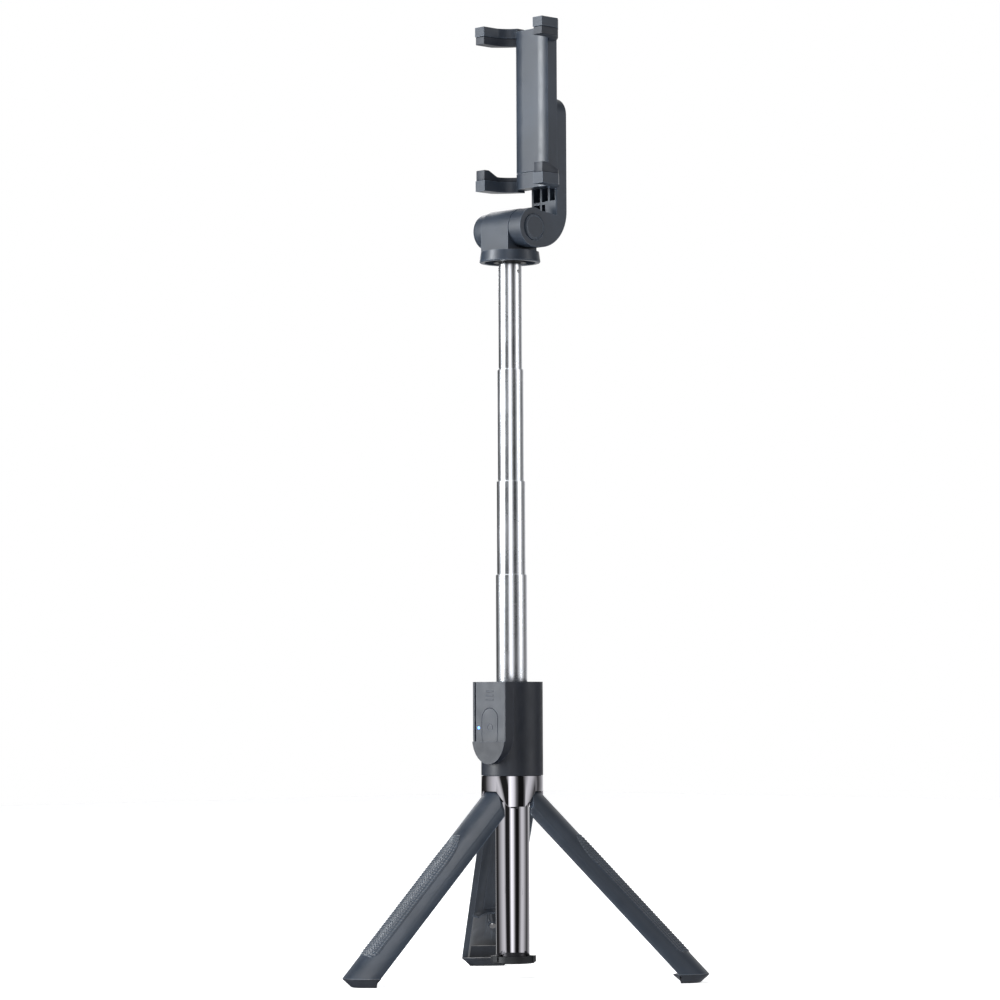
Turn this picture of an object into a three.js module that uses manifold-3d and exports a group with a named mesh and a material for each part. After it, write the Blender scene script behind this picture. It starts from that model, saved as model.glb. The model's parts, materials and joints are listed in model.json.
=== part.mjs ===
// Tripod selfie stick: three folding legs, a telescopic pole, a tilting phone holder and a docked remote.
// Millimetres, +Z up. The origin is on the pole axis, on the flat underside of the lower tube's end cap.
import * as THREE from "three";
import { mergeVertices } from "three/addons/utils/BufferGeometryUtils.js";
import Module from "manifold-3d";

const wasm = await Module();
wasm.setup();

// ---- Driving dimensions ----
const FLOOR_Z = -7.8;
const GAP = 0.3;
const FIT = 0.1;
const POLE_SIDES = 32;
const BODY_SIDES = 48;
const HIDDEN_SIDES = 20;

const CAP_RADIUS = 11.5;
const CAP_HEIGHT = 3.6;
const CORE_RADIUS = 8.7;
const CORE_TOP = 140.7;
const WALL = 0.35;

const BODY_RADIUS = 16;
const RING_INNER = 14.95;
const RING_BOTTOM = 88.4;
const RING_TOP = 96.4;
const TONGUE_BOTTOM = 80.6;
const COLLAR_BOTTOM = 96.6;
const COLLAR_TOP = 144.8;

const LEGS = { left: -95.5, right: 24.5, rear: 144.5 };
const LEG_SPREAD = 45;
const PIN_REACH = 11.6;
const PIN_Z = 84.8;
const PIN_RADIUS = 0.9;
const KNUCKLE_HALF = 5;
const LEG_HALF_ANGLE = 58.5;
const LEG_INNER = 13.6;
const LEG_INNER_HALF_ANGLE = 50;
const LEG_TIP = 128.6;
const FOOT_HEIGHT = 4.6;
const RIB_BELOW_PIN = 88;
const BOSS_BELOW_PIN = 93;

// Each tube: outer radius, the height of its top, and its length without the guide bush below it.
const TUBES = [
  { name: "tube_4", radius: 8.05, top: 200.4, length: 124 },
  { name: "tube_3", radius: 7.4, top: 248.9, length: 124 },
  { name: "tube_2", radius: 6.75, top: 307.1, length: 124 },
  { name: "tube_1", radius: 6.1, top: 362.4, length: 124 },
];
const BUSH_HEIGHT = 6;

const FLANGE_BOTTOM = 362.7;
const FLANGE_TOP = 368.4;
const HINGE_Z = 380;
const TOWER = { x0: -10.9, x1: 9.3, half: 10.4 };
const CHEEK = { x0: 9.6, x1: 18.07, radius: 10.2 };
const BOLT_RADIUS = 2;

const COLUMN = { x0: -0.5, y0: 16.6, y1: 23.9, pocketTop: 430 };
const HEEL_RADIUS = 20.3;
const HOLDER_X = 8.84;
const PIVOT_Z = 441;

const PLATE = { half: 11.8, front: 6.5, back: 14.7, z0: 410.5, z1: 485.2 };
const CROWN = 1.5;
const FLAT_HALF = 5.5;
const CLAW = { reach: 25, inner: 18.2, tip: -9.1, heel: 2.3 };
const JAW = { z0: 402, z1: 410.2 };
const ROD_OFFSET = 7.2;
const ROD_Y = 10.6;

const DOCK_TURN = 4;
const REMOTE = { half: 9.75, top: 144.8, straight: 29.8, height: 41, back: 10.9, front: 17.1 };
const REMOTE_SEAM = 13.9;
const LIP_Z = 114.1;
const BUTTON = { half: 5.3, top: 13.6, bottom: 33.5 };

// ---- Materials ----
const finish = (color, roughness, metalness) =>
  new THREE.MeshStandardMaterial({ color, roughness, metalness });
const slatePlastic = finish(0x343b44, 0.5, 0);
const collarPlastic = finish(0x272b31, 0.7, 0);
const darkChrome = finish(0x1c1c22, 0.08, 1);
const steel = finish(0xc8cacc, 0.22, 1);
const hardware = finish(0x9a9ca0, 0.35, 1);
const innerPlastic = finish(0x17191c, 0.6, 0);
const rubber = finish(0x1b1d20, 0.9, 0);
const lightPipe = finish(0x3f9dff, 0.3, 0);
const board = finish(0x1d5a34, 0.5, 0);

// ---- Solids and helpers ----
const radians = THREE.MathUtils.degToRad;

function solid(geometry) {
  const bare = geometry.clone();
  bare.deleteAttribute("normal");
  bare.deleteAttribute("uv");
  const merged = mergeVertices(bare, 1e-4);
  const mesh = new wasm.Mesh({
    numProp: 3,
    vertProperties: merged.attributes.position.array,
    triVerts: new Uint32Array(merged.index.array),
  });
  const made = new wasm.Manifold(mesh);
  if (made.volume() > 0) return made;
  const turned = Uint32Array.from(mesh.triVerts);
  for (let i = 0; i < turned.length; i += 3) {
    [turned[i + 1], turned[i + 2]] = [turned[i + 2], turned[i + 1]];
  }
  return new wasm.Manifold(
    new wasm.Mesh({ numProp: 3, vertProperties: mesh.vertProperties, triVerts: turned }),
  );
}

function geometryOf(manifold) {
  const mesh = manifold.getMesh();
  const geometry = new THREE.BufferGeometry();
  geometry.setAttribute("position", new THREE.BufferAttribute(mesh.vertProperties, 3));
  geometry.setIndex(new THREE.BufferAttribute(mesh.triVerts, 1));
  geometry.computeVertexNormals();
  return geometry;
}

const join = (...all) => geometryOf(all.map(solid).reduce((a, b) => a.add(b)));
const cut = (base, ...tools) =>
  geometryOf(tools.map(solid).reduce((a, b) => a.subtract(b), solid(base)));
const common = (a, b) => geometryOf(solid(a).intersect(solid(b)));

function box(x0, x1, y0, y1, z0, z1) {
  const geometry = new THREE.BoxGeometry(x1 - x0, y1 - y0, z1 - z0);
  return geometry.translate((x0 + x1) / 2, (y0 + y1) / 2, (z0 + z1) / 2);
}

// A turned piece about Z: its profile is a list of [radius, height] pairs.
function turned(profile, sides = POLE_SIDES) {
  const points = profile.map(([r, z]) => new THREE.Vector2(r, z));
  return new THREE.LatheGeometry(points, sides).rotateX(Math.PI / 2);
}

const ringProfile = (inner, outer, z0, z1) => [
  [inner, z0],
  [outer, z0],
  [outer, z1],
  [inner, z1],
  [inner, z0],
];
const rodProfile = (radius, z0, z1) => [
  [0, z0],
  [radius, z0],
  [radius, z1],
  [0, z1],
];
const ring = (inner, outer, z0, z1, sides) => turned(ringProfile(inner, outer, z0, z1), sides);
const rod = (radius, z0, z1, sides) => turned(rodProfile(radius, z0, z1), sides);

// The same pieces, turned about X or Y instead.
const alongX = (geometry) => geometry.rotateY(Math.PI / 2);
const alongY = (geometry) => geometry.rotateX(-Math.PI / 2);

function shapeOf(points) {
  return new THREE.Shape(points.map(([x, y]) => new THREE.Vector2(x, y)));
}

// A shape drawn in X and Y, standing from z0 to z1.
function prism(shape, z0, z1, curveSegments = 12) {
  const geometry = new THREE.ExtrudeGeometry(shape, {
    depth: z1 - z0,
    bevelEnabled: false,
    curveSegments,
  });
  return geometry.translate(0, 0, z0);
}

// A shape drawn in Y and Z, standing from x0 to x1.
function prismX(shape, x0, x1, curveSegments) {
  return prism(shape, x0, x1, curveSegments).rotateX(Math.PI / 2).rotateZ(Math.PI / 2);
}

// A shape drawn in X and Z, standing from y0 to y1.
function prismY(shape, y0, y1, curveSegments) {
  return prism(shape, -y1, -y0, curveSegments).rotateX(Math.PI / 2);
}

const model = new THREE.Group();

function piece(name, geometry, material, parent = model) {
  const mesh = new THREE.Mesh(geometry, material);
  mesh.name = name;
  parent.add(mesh);
}

// ---- Lower tube, end cap, leg hub, ring and collar ----
const SPIGOT_TOP = 9;
const HUB_BORE = CORE_RADIUS + FIT;
const HUB_FLOOR = 89.7;
const HUB_SIDES = 32;
const HUB_SLEEVE_RADIUS = 12.5;
const HUB_SLEEVE_TOP = 101;
const EAR = { y0: 5.3, y1: 8.3, x0: 9.5, x1: 13.2, radius: 1.8 };

function lowerTube() {
  return ring(CORE_RADIUS - WALL, CORE_RADIUS, CAP_HEIGHT + FIT, CORE_TOP);
}

function endCap() {
  const body = turned([
    [0, 0],
    [CAP_RADIUS - 0.6, 0],
    [CAP_RADIUS, 0.6],
    [CAP_RADIUS, CAP_HEIGHT],
    [CORE_RADIUS - WALL - FIT, CAP_HEIGHT],
    [CORE_RADIUS - WALL - FIT, SPIGOT_TOP],
    [0, SPIGOT_TOP],
  ]);
  const lugs = Object.values(LEGS).map((angle) =>
    box(CAP_RADIUS - 2.2, CAP_RADIUS + 0.5, -1.9, 1.9, 0.8, CAP_HEIGHT + 0.5).rotateZ(
      radians(angle),
    ),
  );
  return join(body, ...lugs);
}

// One ear of the hub, in the leg's own frame: pole axis at the origin, leg towards +X.
function ear(side, spare) {
  const { y0, y1, x0, x1, radius } = EAR;
  const shape = new THREE.Shape();
  const middle = (x0 + x1) / 2;
  shape.moveTo(x0 - spare, HUB_FLOOR + 0.5);
  shape.lineTo(x0 - spare, PIN_Z);
  shape.absarc(middle, PIN_Z, radius + 0.05 + spare, Math.PI, 2 * Math.PI, false);
  shape.lineTo(x1 + spare, HUB_FLOOR + 0.5);
  const [low, high] = side > 0 ? [y0 - spare, y1 + spare] : [-y1 - spare, -y0 + spare];
  return prismY(shape, low, high, 6);
}

function legHub() {
  const outer = RING_INNER - 0.2;
  const body = turned(
    [
      [HUB_BORE, HUB_FLOOR],
      [outer, HUB_FLOOR],
      [outer, RING_TOP - FIT],
      [HUB_SLEEVE_RADIUS, RING_TOP - FIT],
      [HUB_SLEEVE_RADIUS, HUB_SLEEVE_TOP],
      [HUB_BORE, HUB_SLEEVE_TOP],
      [HUB_BORE, HUB_FLOOR],
    ],
    HUB_SIDES,
  );
  const ears = [];
  const holes = [];
  for (const angle of Object.values(LEGS)) {
    for (const side of [-1, 1]) ears.push(ear(side, 0).rotateZ(radians(angle)));
    const hole = alongY(rod(PIN_RADIUS + FIT, -9, 9, 12)).translate(PIN_REACH, 0, PIN_Z);
    holes.push(hole.rotateZ(radians(angle)));
  }
  const trimmedEars = common(join(...ears), rod(outer, 60, 120, HUB_SIDES));
  return cut(join(body, trimmedEars), ...holes);
}

const NOTCH = { top: 5.5, bottom: 11.1 };

function legRing() {
  const band = ring(RING_INNER, BODY_RADIUS, TONGUE_BOTTOM, RING_TOP, BODY_SIDES);
  const outline = shapeOf([
    [-NOTCH.bottom, TONGUE_BOTTOM - 1],
    [NOTCH.bottom, TONGUE_BOTTOM - 1],
    [NOTCH.bottom, TONGUE_BOTTOM],
    [NOTCH.top, RING_BOTTOM],
    [-NOTCH.top, RING_BOTTOM],
    [-NOTCH.bottom, TONGUE_BOTTOM],
  ]);
  const notches = Object.values(LEGS).map((angle) =>
    prism(outline, 7, 20).rotateX(Math.PI / 2).rotateZ(Math.PI / 2).rotateZ(radians(angle)),
  );
  return cut(band, ...notches);
}

const THROAT = { inner: 8.25, outer: 9.8 };
const BULGE = { half: 11.25, bottom: 102.4, shoulder: 116, face: 18.4, rail: 17.6 };

// The outline of the dock, in X and Z: straight sides and a half-ellipse at the bottom.
function dockOutline(half, top, shoulder, bottom) {
  const shape = new THREE.Shape();
  shape.moveTo(-half, top);
  shape.lineTo(-half, shoulder);
  shape.absellipse(0, shoulder, half, shoulder - bottom, Math.PI, 2 * Math.PI, false);
  shape.lineTo(half, top);
  return shape;
}

const remoteShoulder = REMOTE.top - REMOTE.straight;
const remoteBottom = REMOTE.top - REMOTE.height;

function collarShell() {
  const body = turned(ringProfile(CORE_RADIUS + FIT, BODY_RADIUS, COLLAR_BOTTOM, COLLAR_TOP), BODY_SIDES);
  const { half, bottom, shoulder, face, rail } = BULGE;
  const bulge = prismY(dockOutline(half, COLLAR_TOP, shoulder, bottom), -face, -9.5, 7);
  const overRail = box(-20, 20, -25, -rail, LIP_Z, COLLAR_TOP + 1);
  const spare = prismY(
    dockOutline(REMOTE.half + GAP, COLLAR_TOP + 1, remoteShoulder, remoteBottom - GAP),
    -REMOTE.front - GAP,
    -REMOTE.back + GAP,
    7,
  );
  const window = box(-REMOTE.half - GAP, REMOTE.half + GAP, -25, -12, LIP_Z, COLLAR_TOP + 1);
  const dock = (geometry) => geometry.rotateZ(radians(DOCK_TURN));
  return cut(
    join(body, dock(cut(bulge, overRail))),
    dock(spare),
    dock(window),
    rod(HUB_SLEEVE_RADIUS + FIT, COLLAR_BOTTOM - 1, HUB_SLEEVE_TOP + FIT, HUB_SIDES),
    rod(CORE_RADIUS + FIT, COLLAR_BOTTOM - 1, CORE_TOP),
    rod(THROAT.outer + FIT, CORE_TOP, COLLAR_TOP + 1),
  );
}

piece("lower_tube", lowerTube(), darkChrome);
piece("end_cap", endCap(), slatePlastic);
piece("leg_hub", legHub(), innerPlastic);
piece("leg_ring", legRing(), darkChrome);
piece("collar_shell", collarShell(), collarPlastic);
piece("throat_bush", ring(THROAT.inner, THROAT.outer, CORE_TOP + FIT, COLLAR_TOP - 0.2), innerPlastic);

// ---- Legs, each drawn folded, with its pin at the origin and the pole axis at x = -PIN_REACH ----
const LEG_TOP = [
  [5, 1.5],
  [10.7, -5.8],
  [14.2, -9.8],
];
const KNUCKLE_RADIUS = 2.2;
const LEG_ARC_STEPS = 14;
const LEG_SCREW = { head: 1.7, headDepth: 0.7, shank: 0.8, end: 4.7, tip: -5.4 };

function arcBand(outer, outerHalf, inner, innerHalf) {
  const shape = new THREE.Shape();
  shape.absarc(-PIN_REACH, 0, outer, -radians(outerHalf), radians(outerHalf), false);
  shape.absarc(-PIN_REACH, 0, inner, radians(innerHalf), -radians(innerHalf), true);
  return shape;
}

function segment(outer, half) {
  const shape = new THREE.Shape();
  shape.absarc(-PIN_REACH, 0, outer, -radians(half), radians(half), false);
  return shape;
}

// Everything between two heights above the ground, seen from the folded leg.
function slab(low, high) {
  const level = box(-60, 200, -40, 40, low - PIN_Z, high - PIN_Z);
  return level.rotateY(radians(LEG_SPREAD));
}

function earSweep() {
  const steps = 3;
  const tools = [];
  for (let i = 0; i <= steps; i++) {
    for (const side of [-1, 1]) {
      const tool = ear(side, GAP).translate(-PIN_REACH, 0, -PIN_Z);
      tools.push(tool.rotateY(radians((LEG_SPREAD * i) / steps)));
    }
  }
  return tools;
}

function legShell() {
  const band = arcBand(BODY_RADIUS, LEG_HALF_ANGLE, LEG_INNER, LEG_INNER_HALF_ANGLE);
  const skin = prism(band, -LEG_TIP, 3, LEG_ARC_STEPS);
  const mirrored = LEG_TOP.map(([y, z]) => [-y, z]).reverse();
  const bottom = [
    [BODY_RADIUS, -LEG_TIP - 1],
    [-BODY_RADIUS, -LEG_TIP - 1],
  ];
  const outline = prismX(shapeOf([...LEG_TOP, [16, -12], ...bottom, [-16, -12], ...mirrored]), -8, 8);
  const trimmed = common(common(skin, outline), slab(FLOOR_Z + FOOT_HEIGHT, 120));
  const knuckle = alongY(rod(KNUCKLE_RADIUS, -KNUCKLE_HALF, KNUCKLE_HALF, 20));
  const rib = prism(arcBand(LEG_INNER + 0.4, 52, 10.4, 46), -RIB_BELOW_PIN - 0.6, -RIB_BELOW_PIN + 0.6, 5);
  const boss = alongX(rod(2.4, LEG_SCREW.tip, 3, 16)).translate(0, 0, -BOSS_BELOW_PIN);
  const bossHole = alongX(rod(LEG_SCREW.shank + FIT, -9, LEG_SCREW.end - 5, 12)).translate(
    0,
    0,
    -BOSS_BELOW_PIN,
  );
  const pinHole = alongY(rod(PIN_RADIUS + 0.25, -9, 9, 12));
  return cut(join(trimmed, knuckle, rib, boss), pinHole, bossHole, ...earSweep());
}

// The foot closes the leg's end. Its outer face is square to the leg, and its sole lies flat on the ground.
const FOOT = { back: 4.5, backHalf: 6.9, top: 100, plugHalfAngle: 44, plugLow: 2, plugHigh: 11 };

function footOutline() {
  const shape = new THREE.Shape();
  shape.absarc(-PIN_REACH, 0, BODY_RADIUS, -radians(LEG_HALF_ANGLE), radians(LEG_HALF_ANGLE), false);
  shape.lineTo(FOOT.back - PIN_REACH, FOOT.backHalf);
  shape.lineTo(FOOT.back - PIN_REACH, -FOOT.backHalf);
  return shape;
}

function footSolid() {
  const block = prism(footOutline(), -LEG_TIP, -FOOT.top, LEG_ARC_STEPS);
  const sole = common(block, slab(FLOOR_Z, FLOOR_Z + FOOT_HEIGHT - FIT));
  const plugBody = prism(segment(LEG_INNER - GAP, FOOT.plugHalfAngle), -LEG_TIP, -FOOT.top - 10, 5);
  const plug = common(plugBody, slab(FLOOR_Z + FOOT.plugLow, FLOOR_Z + FOOT.plugHigh));
  return join(sole, plug);
}

function legScrew() {
  const { head, headDepth, shank, end, tip } = LEG_SCREW;
  const top = tip - FIT;
  const profile = [
    [0, top - headDepth],
    [head, top - headDepth],
    [head, top],
    [shank, top],
    [shank, end - 5.2],
    [0, end - 5.2],
  ];
  return alongX(turned(profile, 12)).translate(0, 0, -BOSS_BELOW_PIN);
}

for (const [side, angle] of Object.entries(LEGS)) {
  const turn = new THREE.Group();
  turn.rotation.z = radians(angle);
  const hinge = new THREE.Group();
  hinge.position.set(PIN_REACH, 0, PIN_Z);
  hinge.rotation.y = -radians(LEG_SPREAD);
  turn.add(hinge);
  model.add(turn);
  const pin = alongY(rod(PIN_RADIUS, -7.8, 7.8, 12)).translate(PIN_REACH, 0, PIN_Z);
  piece(`leg_pin_${side}`, pin, hardware, turn);
  piece(`leg_shell_${side}`, legShell(), slatePlastic, hinge);
  piece(`foot_${side}`, footSolid(), rubber, hinge);
  piece(`leg_screw_${side}`, legScrew(), hardware, hinge);
}

// ---- Telescopic tubes, each with a guide bush below its lower end ----
const RIM = { lip: 0.15, height: 1.2 };
const TUBE_PIN = { radius: 0.8, z: 358, x0: 4.5, x1: 6.35 };

function tube({ radius, top, length }, rimmed) {
  const inner = radius - WALL;
  const bottom = top - length;
  if (!rimmed) return ring(inner, radius, bottom, top);
  return turned([
    [inner, bottom],
    [radius, bottom],
    [radius, top],
    [inner - RIM.lip, top],
    [inner, top - RIM.height],
    [inner, bottom],
  ]);
}

for (const spec of TUBES) {
  const thinnest = spec.name === "tube_1";
  const hole = alongX(rod(TUBE_PIN.radius + FIT, 3, 8, 12)).translate(0, 0, TUBE_PIN.z);
  const geometry = thinnest ? cut(tube(spec, false), hole) : tube(spec, true);
  piece(spec.name, geometry, steel);
  const bushTop = spec.top - spec.length - FIT;
  const bush = ring(spec.radius - WALL, spec.radius + 0.12, bushTop - BUSH_HEIGHT, bushTop, 24);
  piece(spec.name.replace("tube", "guide_bush"), bush, innerPlastic);
}

// ---- Head plug and head base ----
const PLUG = { radius: 5.65, bottom: 350, rim: 8.5, rimTop: 365.2, spigot: 4, spigotTop: 372 };
const SWIVEL_SCREW = { head: 3, headZ: 355.5, shank: 1.5, shankZ: 358, top: 375 };

function headPlug() {
  const { radius, bottom, rim, rimTop, spigot, spigotTop } = PLUG;
  const bore = SWIVEL_SCREW.head + GAP;
  const hole = SWIVEL_SCREW.shank + 0.2;
  const body = turned([
    [bore, bottom],
    [radius, bottom],
    [radius, FLANGE_BOTTOM],
    [rim, FLANGE_BOTTOM],
    [rim, rimTop],
    [spigot, rimTop],
    [spigot, spigotTop],
    [hole, spigotTop],
    [hole, SWIVEL_SCREW.shankZ],
    [bore, SWIVEL_SCREW.shankZ],
    [bore, bottom],
  ], HIDDEN_SIDES);
  const pinHole = alongX(rod(TUBE_PIN.radius + FIT, TUBE_PIN.x0 - FIT, 8, 12));
  return cut(body, pinHole.translate(0, 0, TUBE_PIN.z));
}

function swivelScrew() {
  const { head, headZ, shank, shankZ, top } = SWIVEL_SCREW;
  return turned(
    [
      [0, headZ],
      [head, headZ],
      [head, shankZ - FIT],
      [shank, shankZ - FIT],
      [shank, top],
      [0, top],
    ],
    16,
  );
}

function headBase() {
  const flange = turned(
    [
      [0, FLANGE_BOTTOM],
      [15.5, FLANGE_BOTTOM],
      [15.9, FLANGE_BOTTOM + 0.5],
      [15.2, FLANGE_TOP],
      [0, FLANGE_TOP],
    ],
    40,
  );
  const arch = new THREE.Shape();
  arch.moveTo(-TOWER.half, FLANGE_TOP - 1);
  arch.lineTo(TOWER.half, FLANGE_TOP - 1);
  arch.absarc(0, HINGE_Z, TOWER.half, 0, Math.PI, false);
  const tower = prismX(arch, TOWER.x0, TOWER.x1, 9);
  return cut(
    join(flange, tower),
    rod(13.4, FLANGE_BOTTOM - 1, FLANGE_BOTTOM + 2.8, 40),
    rod(PLUG.spigot + GAP, FLANGE_BOTTOM, PLUG.spigotTop + GAP, 24),
    rod(SWIVEL_SCREW.shank + GAP, FLANGE_BOTTOM, SWIVEL_SCREW.top + GAP, 16),
    alongX(rod(BOLT_RADIUS + GAP, -20, 20, 16)).translate(0, 0, HINGE_Z),
  );
}

piece("head_plug", headPlug(), innerPlastic);
const tubePin = alongX(rod(TUBE_PIN.radius, TUBE_PIN.x0, TUBE_PIN.x1, 12)).translate(0, 0, TUBE_PIN.z);
piece("tube_pin", tubePin, hardware);
piece("swivel_screw", swivelScrew(), hardware);
piece("head_base", headBase(), slatePlastic);

// ---- Tilt hinge ----
const BOLT_HEAD = { radius: 4.2, x0: 14.6, x1: 17.1 };
const NUT = { radius: 4, x0: -14.3, x1: -11.6 };
const SIDE_COVER = { radius: 9.6, x0: -11.2, x1: -18.7, hollow: 6, hollowEnd: -16 };
const HINGE_CAP = { radius: 6.9, x0: 17.5, x1: 19.1 };
const WASHER = { radius: 8, x0: 9.7, x1: 10.2 };
const atHinge = (geometry) => alongX(geometry).translate(0, 0, HINGE_Z);

function hingeBolt() {
  const { radius, x0, x1 } = BOLT_HEAD;
  return turned(
    [
      [0, -16],
      [BOLT_RADIUS, -16],
      [BOLT_RADIUS, x0],
      [radius, x0],
      [radius, x1],
      [0, x1],
    ],
    16,
  );
}

function sideCover() {
  const { radius, x0, x1, hollow, hollowEnd } = SIDE_COVER;
  return turned(
    [
      [hollow, x0],
      [hollow, hollowEnd],
      [0, hollowEnd],
      [0, x1],
      [radius * 0.7, x1 + 0.3],
      [radius * 0.92, x1 + 1],
      [radius, x1 + 2.4],
      [radius, x0],
      [hollow, x0],
    ],
    32,
  );
}

piece("hinge_bolt", atHinge(hingeBolt()), hardware);
const nutBore = (BOLT_RADIUS + FIT) / Math.cos(Math.PI / 6);
piece("hinge_nut", atHinge(ring(nutBore, NUT.radius, NUT.x0, NUT.x1, 6)), hardware);
piece("hinge_side_cover", atHinge(sideCover()), slatePlastic);
const washerRing = ring(BOLT_RADIUS + GAP, WASHER.radius, WASHER.x0, WASHER.x1, HIDDEN_SIDES);
piece("friction_washer", atHinge(washerRing), hardware);
piece("hinge_cap", atHinge(rod(HINGE_CAP.radius, HINGE_CAP.x0, HINGE_CAP.x1, 32)), slatePlastic);

// ---- Hinge arm: a cheek beside the tower, a heel behind it and a ribbed column for the holder ----
const RIB_WALL = 1.3;
const POCKET_DEPTH = 5;
const COLUMN_RIBS_X = [6.4, 12.3];
const COLUMN_RIBS_Z = [394.6, 405, 416];
const COLUMN_FLOOR = 387.5;
const HEEL_CENTRE = { y: 3.6, z: HINGE_Z + 10.1 };
const SCREW_RECESS = { radius: 5.6, depth: 2.9 };
const PIVOT_SCREW = { shank: 1.9, head: 4.4, headBack: 23.6, headFront: 21.9, tip: 10.2 };

function cheek() {
  const heelEnd = COLUMN.y1;
  const shape = new THREE.Shape();
  shape.absarc(0, HINGE_Z, CHEEK.radius, radians(62), radians(270), false);
  shape.lineTo(HEEL_CENTRE.y, HINGE_Z - CHEEK.radius);
  shape.absarc(HEEL_CENTRE.y, HEEL_CENTRE.z, HEEL_RADIUS, radians(-90), 0, false);
  shape.lineTo(heelEnd, COLUMN_FLOOR + 8);
  shape.lineTo(COLUMN.y0, COLUMN_FLOOR + 8);
  shape.lineTo(COLUMN.y0, COLUMN_FLOOR);
  return prismX(shape, CHEEK.x0, CHEEK.x1, 9);
}

function column() {
  const { x0, y0, y1, pocketTop } = COLUMN;
  const x1 = CHEEK.x1;
  const half = (x1 - x0) / 2;
  const outline = new THREE.Shape();
  outline.moveTo(x0, 370);
  outline.lineTo(x1, 370);
  outline.lineTo(x1, PIVOT_Z);
  outline.absarc(x0 + half, PIVOT_Z, half, 0, Math.PI, false);
  const side = new THREE.Shape();
  const start = -Math.acos((y0 - HEEL_CENTRE.y) / HEEL_RADIUS);
  side.moveTo(y0, HEEL_CENTRE.z + HEEL_RADIUS * Math.sin(start));
  side.absarc(HEEL_CENTRE.y, HEEL_CENTRE.z, HEEL_RADIUS, start, 0, false);
  side.lineTo(y1, 460);
  side.lineTo(y0, 460);
  const body = common(prismY(outline, y0 - 1, y1 + 1, 8), prismX(side, x0 - 1, x1 + 1, 6));
  const xs = [x0 + RIB_WALL, ...COLUMN_RIBS_X, x1 - RIB_WALL];
  const zs = [COLUMN_FLOOR, ...COLUMN_RIBS_Z, pocketTop];
  const pockets = [];
  for (let i = 0; i + 1 < xs.length; i++) {
    for (let k = 0; k + 1 < zs.length; k++) {
      const trim = RIB_WALL / 2;
      const left = i ? xs[i] + trim : xs[i];
      const right = i + 2 < xs.length ? xs[i + 1] - trim : xs[i + 1];
      pockets.push(box(left, right, y0 - 2, y0 + POCKET_DEPTH, zs[k] + trim, zs[k + 1] - trim));
    }
  }
  return cut(body, ...pockets);
}

function armFrame() {
  const washerSeat = rod(WASHER.radius + GAP, 9, WASHER.x1 + GAP, 24);
  const boltHole = rod(BOLT_RADIUS + GAP, 5, 20, 16);
  const headSeat = rod(BOLT_HEAD.radius + GAP, BOLT_HEAD.x0 - GAP, 20, 24);
  const capSeat = rod(HINGE_CAP.radius + 0.25, HINGE_CAP.x0 - 0.2, 20, 32);
  const atPivot = (geometry) => alongY(geometry).translate(HOLDER_X, 0, PIVOT_Z);
  const screwHole = atPivot(rod(PIVOT_SCREW.shank + GAP, 10, 30, 16));
  const recess = atPivot(rod(SCREW_RECESS.radius, COLUMN.y1 - SCREW_RECESS.depth, 30, 24));
  const seats = [washerSeat, boltHole, headSeat, capSeat].map(atHinge);
  return cut(join(cheek(), column()), ...seats, screwHole, recess);
}

const tiltGroup = new THREE.Group();
model.add(tiltGroup);
piece("arm_frame", armFrame(), slatePlastic, tiltGroup);

// ---- Phone holder: everything from here is drawn about the middle of the plate, X = 0 ----
const holder = new THREE.Group();
holder.position.x = HOLDER_X;
tiltGroup.add(holder);

const CAVITY = { half: 10.4, y0: 8.5, y1: 14.9, z0: 413, z1: 478 };
const BACK_COVER = { half: 10.1, y0: 13.1, z0: 413.3, z1: 477.7, boss: 4, pivotPad: 7, padBack: 16.2 };
const COVER_SCREWS = [419, 471];
const POST = { radius: 2.2, hole: 1, end: 12.9 };
const UPPER_HOOK = { padBottom: 478, z0: 482.2, z1: 487.2 };
const CLAW_SWEEP = { x: 19.5, y: 9.5 };
const LOWER_HOOK = { z0: 400.8, z1: 406.4, padTop: 411.8 };
const PAD_INSET = 0.25;
const JAW_ROD = { radius: 1, z0: 403.5, z1: 444.9, clip: 2, clipTop: 446.2 };
const SPRING = { z0: 413.3, z1: 444.6, turns: 6, coil: 1.72, wire: 0.28 };

// The plate's section: flat in the middle of the front, falling back a little to both sides.
function plateSection() {
  const { half, front, back } = PLATE;
  const shape = new THREE.Shape();
  shape.moveTo(-FLAT_HALF, front);
  shape.lineTo(FLAT_HALF, front);
  shape.quadraticCurveTo(half * 0.8, front + 0.15, half, front + CROWN);
  shape.lineTo(half, back);
  shape.lineTo(-half, back);
  shape.lineTo(-half, front + CROWN);
  shape.quadraticCurveTo(-half * 0.8, front + 0.15, -FLAT_HALF, front);
  return shape;
}

// A hook seen from above, on the side given by its sign: it sweeps out from the plate and forwards.
function hookOutline(side, root, inset) {
  const { reach, inner, tip, heel } = CLAW;
  const back = PLATE.back - 1.2 - inset;
  const at = (x, y) => [side * x, y];
  const shape = new THREE.Shape();
  shape.moveTo(...at(root, back));
  shape.quadraticCurveTo(...at(CLAW_SWEEP.x - inset, CLAW_SWEEP.y), ...at(reach - inset, heel));
  shape.lineTo(...at(reach - inset, tip + inset));
  shape.lineTo(...at(inner + inset, tip + inset));
  shape.lineTo(...at(inner + inset, heel - 2));
  const front = PLATE.front + CROWN + 0.4 + inset;
  shape.quadraticCurveTo(...at(inner - 1.8, PLATE.front), ...at(root, front));
  return shape;
}

const hook = (side, z0, z1) => prism(hookOutline(side, PLATE.half - 0.5, 0), z0, z1, 8);
const pad = (side, z0, z1) => prism(hookOutline(side, PLATE.half + 0.4, PAD_INSET), z0, z1, 8);

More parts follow.
